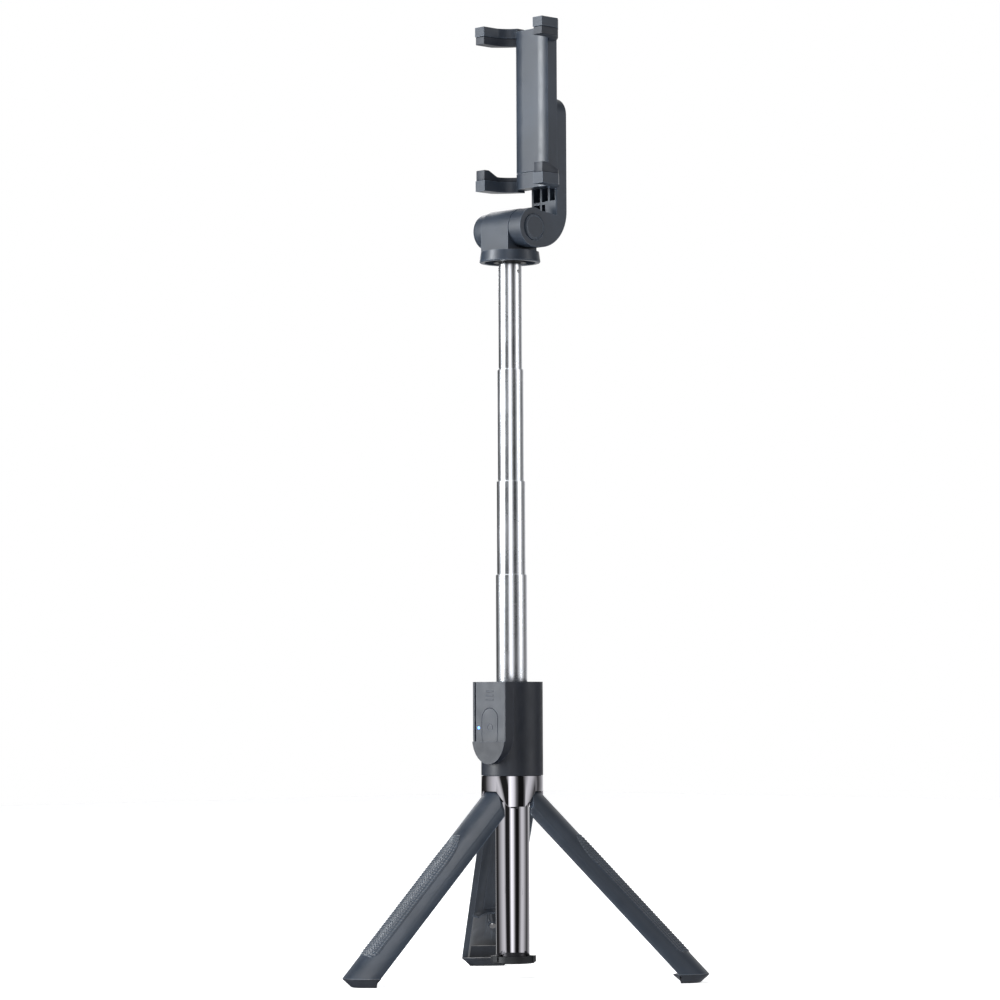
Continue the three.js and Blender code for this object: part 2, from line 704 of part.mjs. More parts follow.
function holderFront() {
  const plate = prism(plateSection(), PLATE.z0, PLATE.z1, 6);
  const { half, y0, y1, z0, z1 } = CAVITY;
  const body = cut(plate, box(-half, half, y0, y1, z0, z1));
  const posts = COVER_SCREWS.map((z) => alongY(rod(POST.radius, y0 - 0.5, POST.end, 16)).translate(0, 0, z));
  const upper = [-1, 1].map((side) => hook(side, UPPER_HOOK.z0, UPPER_HOOK.z1));
  const postHoles = COVER_SCREWS.map((z) => alongY(rod(POST.hole, y0 + 0.8, 20, 12)).translate(0, 0, z));
  const rodHoles = [-1, 1].map((side) =>
    rod(JAW_ROD.radius + GAP, PLATE.z0 - 1, z0 + 1, 12).translate(side * ROD_OFFSET, ROD_Y, 0),
  );
  return cut(join(body, ...posts, ...upper), ...postHoles, ...rodHoles);
}

function holderBack() {
  const { half, y0, z0, z1, boss, pivotPad, padBack } = BACK_COVER;
  const cover = box(-half, half, y0, PLATE.back, z0, z1);
  const innerBoss = alongY(rod(boss, 9.2, y0 + 0.5, 20)).translate(0, 0, PIVOT_Z);
  const outerPad = alongY(rod(pivotPad, PLATE.back - 0.5, padBack, 28)).translate(0, 0, PIVOT_Z);
  const bore = alongY(rod(PIVOT_SCREW.shank + FIT, 9.9, 20, 16)).translate(0, 0, PIVOT_Z);
  const holes = COVER_SCREWS.flatMap((z) => [
    alongY(rod(1.2, 10, 20, 12)).translate(0, 0, z),
    alongY(rod(2.1, 14, 20, 16)).translate(0, 0, z),
  ]);
  return cut(join(cover, innerBoss, outerPad), bore, ...holes);
}

function coverScrew(z) {
  const profile = [
    [0, 10],
    [0.85, 10],
    [0.85, 14.05],
    [1.8, 14.05],
    [1.8, 14.65],
    [0, 14.65],
  ];
  return alongY(turned(profile, 12)).translate(0, 0, z);
}

function pivotScrew() {
  const { shank, head, headBack, headFront, tip } = PIVOT_SCREW;
  const profile = [
    [0, tip],
    [shank, tip],
    [shank, headFront],
    [head, headFront],
    [head, headBack],
    [0, headBack],
  ];
  return alongY(turned(profile, 16)).translate(0, 0, PIVOT_Z);
}

class Helix extends THREE.Curve {
  getPoint(t, target = new THREE.Vector3()) {
    const angle = 2 * Math.PI * SPRING.turns * t;
    const low = SPRING.z0 + SPRING.wire;
    const high = SPRING.z1 - SPRING.wire;
    return target.set(SPRING.coil * Math.cos(angle), SPRING.coil * Math.sin(angle), low + (high - low) * t);
  }
}

function spring() {
  const wire = new THREE.Shape();
  wire.absarc(0, 0, SPRING.wire, 0, 2 * Math.PI, false);
  return new THREE.ExtrudeGeometry(wire, { steps: 7 * SPRING.turns, curveSegments: 3, extrudePath: new Helix() });
}

function jawRod() {
  const { radius, z0, z1, clip, clipTop } = JAW_ROD;
  return turned(
    [
      [0, z0],
      [radius, z0],
      [radius, z1],
      [clip, z1],
      [clip, clipTop],
      [0, clipTop],
    ],
    12,
  );
}

function lowerJaw() {
  const block = prism(plateSection(), JAW.z0, JAW.z1, 6);
  const hooks = [-1, 1].map((side) => hook(side, LOWER_HOOK.z0, LOWER_HOOK.z1));
  const sockets = [-1, 1].map((side) =>
    rod(JAW_ROD.radius + FIT, JAW_ROD.z0 - FIT, JAW.z1 + 1, 12).translate(side * ROD_OFFSET, ROD_Y, 0),
  );
  return cut(join(block, ...hooks), ...sockets);
}

piece("holder_front", holderFront(), slatePlastic, holder);
piece("holder_back", holderBack(), slatePlastic, holder);
piece("pivot_screw", pivotScrew(), hardware, holder);
piece("pivot_washer", alongY(ring(2.15, 4.6, 21.15, 21.7, 20)).translate(0, 0, PIVOT_Z), hardware, holder);
piece("cover_screw_lower", coverScrew(COVER_SCREWS[0]), hardware, holder);
piece("cover_screw_upper", coverScrew(COVER_SCREWS[1]), hardware, holder);
piece("lower_jaw", lowerJaw(), slatePlastic, holder);
for (const [name, side] of [
  ["far", -1],
  ["near", 1],
]) {
  piece(`upper_pad_${name}`, pad(side, UPPER_HOOK.padBottom, UPPER_HOOK.z0 - FIT), rubber, holder);
  piece(`lower_pad_${name}`, pad(side, LOWER_HOOK.z1 + FIT, LOWER_HOOK.padTop), rubber, holder);
  piece(`jaw_rod_${name}`, jawRod().translate(side * ROD_OFFSET, ROD_Y, 0), hardware, holder);
  piece(`jaw_spring_${name}`, spring().translate(side * ROD_OFFSET, ROD_Y, 0), hardware, holder);
}

// ---- Remote, docked: X across it, -Y out of its face ----
const remote = new THREE.Group();
remote.rotation.z = radians(DOCK_TURN);
model.add(remote);

const SHELL_WALL = 1;
const BOARD = { half: 7.6, y0: -14.1, y1: -13.3, z0: 111.5, z1: 143 };
const CELL = { radius: 5.2, y0: -12.9, y1: -11.95, z: 134 };
const DOME = { radius: 2.6, y0: -14.95, y1: -14.2, z: 121 };
const LAMP = { x: -7.8, z: 121.2, radius: 0.75, y0: -17.05, y1: -14.3 };
const SIDE_SLOT = { z0: 129, z1: 132.4, depth: 0.5 };

function remoteOutline(inset) {
  return dockOutline(REMOTE.half - inset, REMOTE.top - inset, remoteShoulder, remoteBottom + inset);
}

function buttonOutline(grow) {
  const half = BUTTON.half + grow;
  const straightTop = REMOTE.top - BUTTON.top - BUTTON.half;
  const straightBottom = REMOTE.top - BUTTON.bottom + BUTTON.half;
  const shape = new THREE.Shape();
  shape.absarc(0, straightTop, half, 0, Math.PI, false);
  shape.absarc(0, straightBottom, half, Math.PI, 2 * Math.PI, false);
  return shape;
}

function remoteFront() {
  const shell = prismY(remoteOutline(0), -REMOTE.front, -REMOTE_SEAM - 0.05, 7);
  const hollow = prismY(remoteOutline(SHELL_WALL), -REMOTE.front + SHELL_WALL, -5, 7);
  const lampHole = alongY(rod(LAMP.radius + FIT, -20, -10, 12)).translate(LAMP.x, 0, LAMP.z);
  return cut(shell, hollow, prismY(buttonOutline(0.2), -20, -10, 6), lampHole);
}

function remoteBack() {
  const shell = prismY(remoteOutline(0), -REMOTE_SEAM + 0.05, -REMOTE.back, 7);
  const hollow = prismY(remoteOutline(SHELL_WALL), -20, -REMOTE.back - SHELL_WALL + 0.1, 7);
  const { z0, z1, depth } = SIDE_SLOT;
  const slot = box(REMOTE.half - depth, REMOTE.half + 1, -12.9, -11.9, z0, z1);
  return cut(shell, hollow, slot);
}

function remoteButton() {
  const face = prismY(buttonOutline(0), -REMOTE.front + 0.02, -REMOTE.front + SHELL_WALL, 6);
  const backFace = -REMOTE.front + SHELL_WALL;
  const flange = prismY(buttonOutline(0.9), backFace + 0.15, backFace + 0.5, 6);
  const bridge = prismY(buttonOutline(-0.4), -REMOTE.front + 0.5, -REMOTE.front + SHELL_WALL + 0.3, 6);
  return join(face, bridge, flange);
}

piece("remote_front_cover", remoteFront(), slatePlastic, remote);
piece("remote_back_cover", remoteBack(), slatePlastic, remote);
piece("remote_button", remoteButton(), slatePlastic, remote);
const lamp = alongY(rod(LAMP.radius, LAMP.y0, LAMP.y1, 12)).translate(LAMP.x, 0, LAMP.z);
piece("remote_light", lamp, lightPipe, remote);
const boardPlate = box(-BOARD.half, BOARD.half, BOARD.y0, BOARD.y1, BOARD.z0, BOARD.z1);
piece("remote_board", boardPlate, board, remote);
const dome = alongY(rod(DOME.radius, DOME.y0, DOME.y1, 16)).translate(0, 0, DOME.z);
piece("switch_dome", dome, hardware, remote);
const cell = alongY(rod(CELL.radius, CELL.y0, CELL.y1, 24)).translate(0, 0, CELL.z);
piece("coin_cell", cell, hardware, remote);

export default model;
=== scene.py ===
"""Looks of the tripod selfie stick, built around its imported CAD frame.

Lengths are written in millimetres and turned into metres where a mesh is made.
"""
import json
import math

import bmesh
import bpy
from mathutils import Matrix, Vector


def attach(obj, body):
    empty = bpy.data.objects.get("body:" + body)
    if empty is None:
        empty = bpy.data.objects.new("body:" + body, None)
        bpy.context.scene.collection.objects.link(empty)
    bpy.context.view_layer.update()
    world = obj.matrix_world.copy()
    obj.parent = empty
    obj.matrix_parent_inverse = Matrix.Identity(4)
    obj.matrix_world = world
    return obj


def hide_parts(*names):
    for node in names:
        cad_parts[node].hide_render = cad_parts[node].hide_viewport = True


MM = 0.001
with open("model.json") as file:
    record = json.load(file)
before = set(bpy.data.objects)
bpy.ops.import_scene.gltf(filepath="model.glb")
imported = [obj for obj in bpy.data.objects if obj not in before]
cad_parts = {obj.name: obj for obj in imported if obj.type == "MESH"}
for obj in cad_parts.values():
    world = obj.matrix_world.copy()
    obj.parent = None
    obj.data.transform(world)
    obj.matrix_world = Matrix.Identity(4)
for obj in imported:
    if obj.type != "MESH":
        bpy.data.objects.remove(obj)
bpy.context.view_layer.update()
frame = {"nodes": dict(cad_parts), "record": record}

# ---- Dimensions that the pieces share, in millimetres ----
LEGS = {"left": -95.5, "right": 24.5, "rear": 144.5}
LEG_SPREAD = 45
PIN_REACH = 11.6
PIN_Z = 84.8
FLOOR_Z = -7.8
BODY_RADIUS = 16
RING_INNER = 14.95
RING_BOTTOM = 88.4
RING_TOP = 96.4
TONGUE_BOTTOM = 80.6
HINGE_Z = 380
DOCK_TURN = 4
TUBES = {"tube_4": (8.05, 200.4), "tube_3": (7.4, 248.9), "tube_2": (6.75, 307.1), "tube_1": (6.1, 362.4)}
TUBE_LENGTH = 124
WALL = 0.35


# ---- Mesh helpers ----
def new_object(name, verts, faces):
    """A mesh object from corners in millimetres, with its faces turned outwards."""
    mesh = bpy.data.meshes.new(name)
    mesh.from_pydata([[c * MM for c in v] for v in verts], [], faces)
    mesh.validate()
    obj = bpy.data.objects.new(name, mesh)
    bpy.context.scene.collection.objects.link(obj)
    face_out(mesh)
    return obj


def face_out(mesh):
    """Turns the faces so that their normals point out of the solid."""
    bm = bmesh.new()
    bm.from_mesh(mesh)
    bmesh.ops.remove_doubles(bm, verts=bm.verts, dist=1e-7)
    bmesh.ops.recalc_face_normals(bm, faces=bm.faces)
    if bm.calc_volume(signed=True) < 0:
        bmesh.ops.reverse_faces(bm, faces=bm.faces)
    bm.to_mesh(mesh)
    bm.free()


def curve_to(start, control, end, steps=8):
    """Points on a quadratic curve, without its first point."""
    points = []
    for i in range(1, steps + 1):
        t = i / steps
        a, b, c = (1 - t) ** 2, 2 * t * (1 - t), t * t
        points.append(tuple(a * p + b * q + c * r for p, q, r in zip(start, control, end)))
    return points


def rounded_corners(points, radius, steps=4):
    """The outline with each corner turned into an arc-like curve that starts `radius` away from it."""
    out = []
    count = len(points)
    for i, corner in enumerate(points):
        p = Vector(corner)
        before = Vector(points[i - 1]) - p
        after = Vector(points[(i + 1) % count]) - p
        reach = min(radius, before.length * 0.49, after.length * 0.49)
        if reach < 1e-3:
            out.append(tuple(corner))
            continue
        first = p + before.normalized() * reach
        last = p + after.normalized() * reach
        out.append(tuple(first))
        out.extend(curve_to(first, p, last, steps))
    return out


def lathe(name, profile, sides=64, closed=True):
    """A turned piece about Z from (radius, height) points; a point on the axis closes it there."""
    verts, rows = [], []
    for radius, height in profile:
        if radius < 1e-6:
            rows.append([len(verts)])
            verts.append((0, 0, height))
            continue
        rows.append(list(range(len(verts), len(verts) + sides)))
        for k in range(sides):
            a = 2 * math.pi * k / sides
            verts.append((radius * math.cos(a), radius * math.sin(a), height))
    faces = []
    pairs = list(zip(rows, rows[1:]))
    if closed and len(rows[0]) > 1:
        pairs.append((rows[-1], rows[0]))
    for low, high in pairs:
        for k in range(sides):
            n = (k + 1) % sides
            quad = [low[k % len(low)], low[n % len(low)], high[n % len(high)], high[k % len(high)]]
            face = list(dict.fromkeys(quad))
            if len(face) > 2:
                faces.append(face)
    return new_object(name, verts, faces)


def inset_outline(outline, inset):
    """The outline moved inwards by `inset`; the outline runs anticlockwise."""
    count = len(outline)
    moved = []
    for i, point in enumerate(outline):
        p = Vector(point)
        a = (p - Vector(outline[i - 1])).normalized()
        b = (Vector(outline[(i + 1) % count]) - p).normalized()
        normal = Vector((-a.y - b.y, a.x + b.x))
        if normal.length < 1e-6:
            normal = Vector((-a.y, a.x))
        normal.normalize()
        share = max(0.35, normal.dot(Vector((-a.y, a.x))))
        moved.append(tuple(p + normal * inset / share))
    return moved


def anticlockwise(outline):
    """The outline, turned round if it runs clockwise."""
    area = sum(a[0] * b[1] - b[0] * a[1] for a, b in zip(outline, outline[1:] + outline[:1]))
    return outline if area > 0 else outline[::-1]


def prism(name, outline, low, high, edge, steps=3):
    """A solid that stands on an outline in X and Y, with both its rims rounded by `edge`."""
    outline = anticlockwise([tuple(p) for p in outline])
    layers = []
    for k in range(steps + 1):
        a = math.radians(90 * k / steps)
        layers.append((edge * (1 - math.sin(a)), low + edge * (1 - math.cos(a))))
    for k in range(steps + 1):
        a = math.radians(90 - 90 * k / steps)
        layers.append((edge * (1 - math.sin(a)), high - edge * (1 - math.cos(a))))
    verts = []
    for inset, z in layers:
        verts += [(x, y, z) for x, y in (inset_outline(outline, inset) if inset else outline)]
    count = len(outline)
    faces = [list(range(count))[::-1], [count * (len(layers) - 1) + i for i in range(count)]]
    for row in range(len(layers) - 1):
        for i in range(count):
            n = (i + 1) % count
            faces.append([row * count + i, row * count + n, (row + 1) * count + n, (row + 1) * count + i])
    return new_object(name, verts, faces)


def rounded_box(name, x0, x1, y0, y1, z0, z1, corner, edge):
    """A box with its upright edges rounded by `corner` and its rims by `edge`."""
    outline = rounded_corners([(x0, y0), (x1, y0), (x1, y1), (x0, y1)], corner)
    return prism(name, outline, z0, z1, edge)


def cylinder(name, radius, z0, z1, edge, sides):
    """A round bar along Z with its rims rounded by `edge`."""
    e = edge
    profile = [(0, z0), (radius - e, z0)]
    profile += [(radius - e + e * math.sin(a), z0 + e - e * math.cos(a)) for a in (0.52, 1.05, 1.57)]
    profile += [(radius - e + e * math.cos(a), z1 - e + e * math.sin(a)) for a in (0, 0.52, 1.05, 1.57)]
    return lathe(name, profile + [(0, z1)], sides, closed=False)


def place(obj, matrix):
    """Moves the mesh itself; the object stays at the origin."""
    obj.data.transform(matrix)
    if matrix.determinant() < 0:
        face_out(obj.data)
    return obj


def shift(x=0, y=0, z=0):
    return Matrix.Translation((x * MM, y * MM, z * MM))


def turn(degrees, axis="Z"):
    return Matrix.Rotation(math.radians(degrees), 4, axis)


# A prism or lathe along Z is laid along X or Y with these: Z goes to +X, or to +Y.
TO_X = Matrix(((0, 0, 1, 0), (1, 0, 0, 0), (0, 1, 0, 0), (0, 0, 0, 1)))
TO_Y = Matrix(((1, 0, 0, 0), (0, 0, 1, 0), (0, -1, 0, 0), (0, 0, 0, 1)))


def combine(base, others, operation):
    """Joins the other solids to the base, or cuts them from it, and deletes them."""
    for other in others:
        modifier = base.modifiers.new("combine", "BOOLEAN")
        modifier.operation = operation
        modifier.solver = "MANIFOLD"
        modifier.object = other
    bpy.context.view_layer.update()
    result = base.evaluated_get(bpy.context.evaluated_depsgraph_get())
    mesh = bpy.data.meshes.new_from_object(result)
    base.modifiers.clear()
    base.data = mesh
    for other in others:
        bpy.data.objects.remove(other)
    if not mesh.polygons:
        raise RuntimeError(f"{base.name} came out empty")
    return base


def join(base, *others):
    return combine(base, others, "UNION")


def cut(base, *others):
    return combine(base, others, "DIFFERENCE")


def shade(obj, angle):
    """Smooth shading, sharp where faces meet at more than `angle` degrees."""
    mesh = obj.data
    mesh.polygons.foreach_set("use_smooth", [True] * len(mesh.polygons))
    mesh.set_sharp_from_angle(angle=math.radians(angle))
    mesh.update()


def finish(obj, name, body, material, replaces=None, angle=32):
    """Names a piece, gives it its material and body, and hides the CAD nodes it stands for."""
    obj.name = name
    obj.data.name = name
    obj.data.materials.clear()
    obj.data.materials.append(material)
    shade(obj, angle)
    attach(obj, body)
    if replaces:
        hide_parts(*([replaces] if isinstance(replaces, str) else replaces))
    return obj


# ---- Camera ----
LENS = 137.55
CAMERA_AT = (1424.3, -1376.8, 133.2)
CAMERA_AIM = (-0.695 * 5.7, -0.719 * 5.7, 239.15)
CAMERA_ROLL = -0.25


def add_camera():
    """A long lens from low on the +X -Y side, with a slight roll."""
    data = bpy.data.cameras.new("view")
    data.sensor_width = 36
    data.lens = LENS
    data.clip_start = 0.05
    data.clip_end = 20
    camera = bpy.data.objects.new("view", data)
    bpy.context.scene.collection.objects.link(camera)
    camera.location = Vector(CAMERA_AT) * MM
    aim = Vector(CAMERA_AIM) * MM
    level = (aim - camera.location).to_track_quat("-Z", "Y").to_matrix().to_4x4()
    camera.rotation_euler = (level @ turn(CAMERA_ROLL)).to_euler()
    bpy.context.scene.camera = camera


# ---- Light: a pale studio with tall softboxes ----
def add_light(name, azimuth, height, distance, width, tall, watts, tint=(1, 1, 1)):
    """A tall soft box at an azimuth in degrees from +X, turned to the middle of the pole."""
    data = bpy.data.lights.new(name, "AREA")
    data.shape = "RECTANGLE"
    data.size = width
    data.size_y = tall
    data.energy = watts
    data.color = tint
    light = bpy.data.objects.new(name, data)
    bpy.context.scene.collection.objects.link(light)
    a = math.radians(azimuth)
    light.location = (distance * math.cos(a), distance * math.sin(a), height)
    light.rotation_euler = (Vector((0, 0, 0.24)) - light.location).to_track_quat("-Z", "Y").to_euler()
    return light


# Azimuth in degrees from +X, and how bright the studio's wall is there.
WORLD_BANDS = [
    (-180, 0.02), (-162, 0.05), (-145, 0.35), (-125, 0.75), (-108, 0.95), (-99, 0.6),
    (-92, 0.02), (-68, 0.02), (-61, 0.6), (-52, 1.9), (-38, 1.2), (-29, 0.2),
    (-20, 0.01), (-2, 0.01), (8, 0.35), (23, 0.95), (38, 0.8), (53, 0.35),
    (68, 0.05), (88, 0.3), (120, 0.9), (145, 0.7), (166, 0.04), (180, 0.02),
]


def add_studio():
    """Banded walls for reflections, white behind for the camera, and four soft boxes."""
    world = bpy.data.worlds.new("studio")
    bpy.context.scene.world = world
    world.use_nodes = True
    nodes, links = world.node_tree.nodes, world.node_tree.links
    background = nodes["Background"]
    background.inputs["Strength"].default_value = 1
    where = nodes.new("ShaderNodeTexCoord")
    split = nodes.new("ShaderNodeSeparateXYZ")
    around = nodes.new("ShaderNodeMath")
    around.operation = "ARCTAN2"
    part = nodes.new("ShaderNodeMapRange")
    part.inputs["From Min"].default_value = -math.pi
    part.inputs["From Max"].default_value = math.pi
    bands = nodes.new("ShaderNodeValToRGB")
    bands.color_ramp.interpolation = "LINEAR"
    ramp = bands.color_ramp.elements
    ramp[0].position, ramp[1].position = 0, 1
    for e, level in ((ramp[0], WORLD_BANDS[0][1]), (ramp[1], WORLD_BANDS[-1][1])):
        e.color = (level, level, level, 1)
    for azimuth, level in WORLD_BANDS[1:-1]:
        e = ramp.new((azimuth + 180) / 360)
        e.color = (level, level, level * 1.01, 1)
    seen = nodes.new("ShaderNodeLightPath")
    choose = nodes.new("ShaderNodeMix")
    choose.data_type = "RGBA"
    choose.inputs["B"].default_value = (1, 1, 1, 1)
    soften = nodes.new("ShaderNodeMix")
    soften.data_type = "RGBA"
    soften.inputs["B"].default_value = (0.2, 0.2, 0.21, 1)
    links.new(where.outputs["Generated"], split.inputs[0])
    links.new(split.outputs["Y"], around.inputs[0])
    links.new(split.outputs["X"], around.inputs[1])
    links.new(around.outputs[0], part.inputs["Value"])
    links.new(part.outputs["Result"], bands.inputs[0])
    links.new(bands.outputs[0], soften.inputs["A"])
    links.new(seen.outputs["Is Diffuse Ray"], soften.inputs["Factor"])
    links.new(soften.outputs["Result"], choose.inputs["A"])
    links.new(seen.outputs["Is Camera Ray"], choose.inputs["Factor"])
    links.new(choose.outputs["Result"], background.inputs["Color"])
    bpy.context.scene.view_settings.view_transform = "Standard"
    return [
        add_light("key", -118, 0.8, 1.9, 0.4, 1.8, 62, (0.95, 0.98, 1)),
        add_light("side", 30, 0.6, 2.0, 0.25, 1.6, 5),
        add_light("top", -80, 2.2, 0.7, 1.4, 1.4, 16),
        add_light("back", 150, 1.2, 1.8, 0.6, 1.4, 8),
    ]


FLOOR_REACH = 3000


def add_floor():
    """A wide pale floor under the feet, left out of reflections."""
    r = FLOOR_REACH
    floor = new_object(
        "floor",
        [(-r, -r, FLOOR_Z), (r, -r, FLOOR_Z), (r, r, FLOOR_Z), (-r, r, FLOOR_Z)],
        [(0, 1, 2, 3)],
    )
    if floor.data.polygons[0].normal.z < 0:
        floor.data.flip_normals()
    material = bpy.data.materials.new("studio_floor")
    material.use_nodes = True
    shader = material.node_tree.nodes["Principled BSDF"]
    shader.inputs["Base Color"].default_value = (0.92, 0.92, 0.92, 1)
    shader.inputs["Emission Color"].default_value = (1, 1, 1, 1)
    shader.inputs["Emission Strength"].default_value = 0.66
    shader.inputs["Roughness"].default_value = 0.6
    floor.data.materials.append(material)
    floor.visible_glossy = False


# ---- Materials ----
def srgb(*values):
    """A colour as linear light, from 0-255 screen values."""
    out = []
    for v in values:
        v /= 255
        out.append(v / 12.92 if v <= 0.04045 else ((v + 0.055) / 1.055) ** 2.4)
    return (*out, 1)


def mix_color(nodes, links, factor, a, b):
    """Mixes two colours, each a fixed value or another node's output."""
    mix = nodes.new("ShaderNodeMix")
    mix.data_type = "RGBA"
    for socket, value in (("A", a), ("B", b)):
        if isinstance(value, tuple):
            mix.inputs[socket].default_value = value
        else:
            links.new(value, mix.inputs[socket])
    links.new(factor, mix.inputs["Factor"])
    return mix.outputs["Result"]


def map_range(nodes, links, value, low, high, from_low=0.0, from_high=1.0):
    """The value moved from one range to another."""
    node = nodes.new("ShaderNodeMapRange")
    node.inputs["From Min"].default_value = from_low
    node.inputs["From Max"].default_value = from_high
    node.inputs["To Min"].default_value = low
    node.inputs["To Max"].default_value = high
    links.new(value, node.inputs["Value"])
    return node.outputs["Result"]


def noise(nodes, links, scale, detail=2.0, stretch=(1, 1, 1)):
    """Noise in the object's own space."""
    where = nodes.new("ShaderNodeTexCoord")
    fit = nodes.new("ShaderNodeMapping")
    fit.inputs["Scale"].default_value = stretch
    texture = nodes.new("ShaderNodeTexNoise")
    texture.inputs["Scale"].default_value = scale
    texture.inputs["Detail"].default_value = detail
    links.new(where.outputs["Object"], fit.inputs["Vector"])
    links.new(fit.outputs["Vector"], texture.inputs["Vector"])
    return texture.outputs["Fac"]


def moulded(name, dark, light, rough, grain, grain_scale=2600, edge=None):
    """Moulded plastic: fine grain, a little drift in colour and gloss, and rims painted paler, partly as
    rubbed wear and partly as a painted highlight.
    """
    material = bpy.data.materials.new(name)
    material.use_nodes = True
    nodes, links = material.node_tree.nodes, material.node_tree.links
    shader = nodes["Principled BSDF"]
    drift = noise(nodes, links, 38, 3)
    color = mix_color(nodes, links, map_range(nodes, links, drift, 0, 1, 0.35, 0.65), dark, light)
    # The paler edge colour on the rims, found from the bevel normal, is partly rubbed wear and partly a
    # painted highlight.
    if edge:
        geometry = nodes.new("ShaderNodeNewGeometry")
        softened = nodes.new("ShaderNodeBevel")
        softened.samples = 4
        softened.inputs["Radius"].default_value = 0.0005
        along = nodes.new("ShaderNodeVectorMath")
        along.operation = "DOT_PRODUCT"
        links.new(softened.outputs["Normal"], along.inputs[0])
        links.new(geometry.outputs["Normal"], along.inputs[1])
        worn_and_highlit_rims = map_range(nodes, links, along.outputs["Value"], 0.8, 0, 0.9, 0.995)
        color = mix_color(nodes, links, worn_and_highlit_rims, color, edge)
    links.new(color, shader.inputs["Base Color"])
    patch = noise(nodes, links, 160, 4)
    gloss = map_range(nodes, links, patch, rough - 0.05, rough + 0.07, 0.3, 0.7)
    links.new(gloss, shader.inputs["Roughness"])
    shader.inputs["Specular IOR Level"].default_value = 0.5
    bump = nodes.new("ShaderNodeBump")
    bump.inputs["Strength"].default_value = grain
    bump.inputs["Distance"].default_value = 0.00006
    links.new(noise(nodes, links, grain_scale, 2), bump.inputs["Height"])
    links.new(bump.outputs["Normal"], shader.inputs["Normal"])
    return material


METAL_DRIFT = 0.06


def metal(name, color, rough, streak, lengthwise=True):
    """Polished metal with fine drawing lines, along the pole if `lengthwise`, and faint smudges."""
    material = bpy.data.materials.new(name)
    material.use_nodes = True
    nodes, links = material.node_tree.nodes, material.node_tree.links
    shader = nodes["Principled BSDF"]
    shader.inputs["Metallic"].default_value = 1
    stretch = (1, 1, 0.012) if lengthwise else (1, 1, 1)
    lines = noise(nodes, links, 1800, 3, stretch)
    smudge = noise(nodes, links, 55, 3)
    paler = tuple(min(1, c * (1 + METAL_DRIFT) + 0.01) for c in color[:3]) + (1,)
    links.new(mix_color(nodes, links, lines, color, paler), shader.inputs["Base Color"])
    links.new(map_range(nodes, links, smudge, rough, rough + 0.07, 0.35, 0.7), shader.inputs["Roughness"])
    bump = nodes.new("ShaderNodeBump")
    bump.inputs["Strength"].default_value = streak
    bump.inputs["Distance"].default_value = 0.00002
    links.new(lines, bump.inputs["Height"])
    links.new(bump.outputs["Normal"], shader.inputs["Normal"])
    return material


def glowing(name, base, light, strength):
    """A clear light pipe with its own soft light, brighter towards the middle of its noise."""
    material = bpy.data.materials.new(name)
    material.use_nodes = True
    nodes, links = material.node_tree.nodes, material.node_tree.links
    shader = nodes["Principled BSDF"]
    cloud = noise(nodes, links, 900, 2)
    links.new(mix_color(nodes, links, cloud, base, light), shader.inputs["Base Color"])
    links.new(mix_color(nodes, links, cloud, light, srgb(150, 205, 255)), shader.inputs["Emission Color"])
    shader.inputs["Emission Strength"].default_value = strength
    shader.inputs["Roughness"].default_value = 0.15
    shader.inputs["Coat Weight"].default_value = 0.4
    return material


# Each edge= colour below is a paler rim: partly wear, partly a painted highlight.
MATERIALS = {
    "slate_plastic": moulded(
        "slate_plastic", srgb(36, 43, 53), srgb(43, 51, 62), 0.38, 0.16, edge=srgb(84, 95, 108)
    ),
    "collar_plastic": moulded(
        "collar_plastic", srgb(20, 25, 34), srgb(25, 30, 40), 0.46, 0.1, edge=srgb(50, 57, 70)
    ),
    "end_plastic": moulded("end_plastic", srgb(17, 19, 23), srgb(22, 24, 28), 0.5, 0.12),
    "remote_plastic": moulded(
        "remote_plastic", srgb(27, 32, 41), srgb(32, 38, 48), 0.42, 0.1, edge=srgb(60, 68, 80)
    ),
    "dark_chrome": metal("dark_chrome", srgb(196, 194, 200), 0.03, 0.01),
    "polished_steel": metal("polished_steel", srgb(240, 243, 248), 0.24, 0.1),
    "hardware": metal("hardware", srgb(150, 150, 152), 0.28, 0.08, lengthwise=False),
    "inner_plastic": moulded("inner_plastic", srgb(14, 16, 19), srgb(19, 21, 25), 0.5, 0.12),
    "rubber": moulded("rubber", srgb(25, 31, 40), srgb(31, 37, 47), 0.5, 0.3, 1500),
    "light_pipe": glowing("light_pipe", srgb(40, 90, 170), srgb(20, 90, 255), 3.5),
    "board": moulded("board", srgb(22, 60, 40), srgb(30, 76, 50), 0.4, 0.2, 900),
}


# ---- Pieces that follow a CAD node, with their edges rounded ----
BODY_OF = {node: body for body, nodes in frame["record"]["behaviour"]["bodies"].items() for node in nodes}
SLOT_OF = {row["node"]: row["material_slot"] for row in frame["record"]["subparts"]}


FLAT_ANGLE = 1.0
SHARP_ANGLE = 30
EDGE_SEGMENTS = 2


def copied(node_name):
    """A copy of a CAD node's mesh with its flat facets merged, to work on."""
    mesh = frame["nodes"][node_name].data.copy()
    obj = bpy.data.objects.new(node_name, mesh)
    bpy.context.scene.collection.objects.link(obj)
    bm = bmesh.new()
    bm.from_mesh(mesh)
    bmesh.ops.remove_doubles(bm, verts=bm.verts, dist=1e-6)
    bmesh.ops.dissolve_limit(bm, angle_limit=math.radians(FLAT_ANGLE), verts=bm.verts, edges=bm.edges)
    bm.to_mesh(mesh)
    bm.free()
    return obj


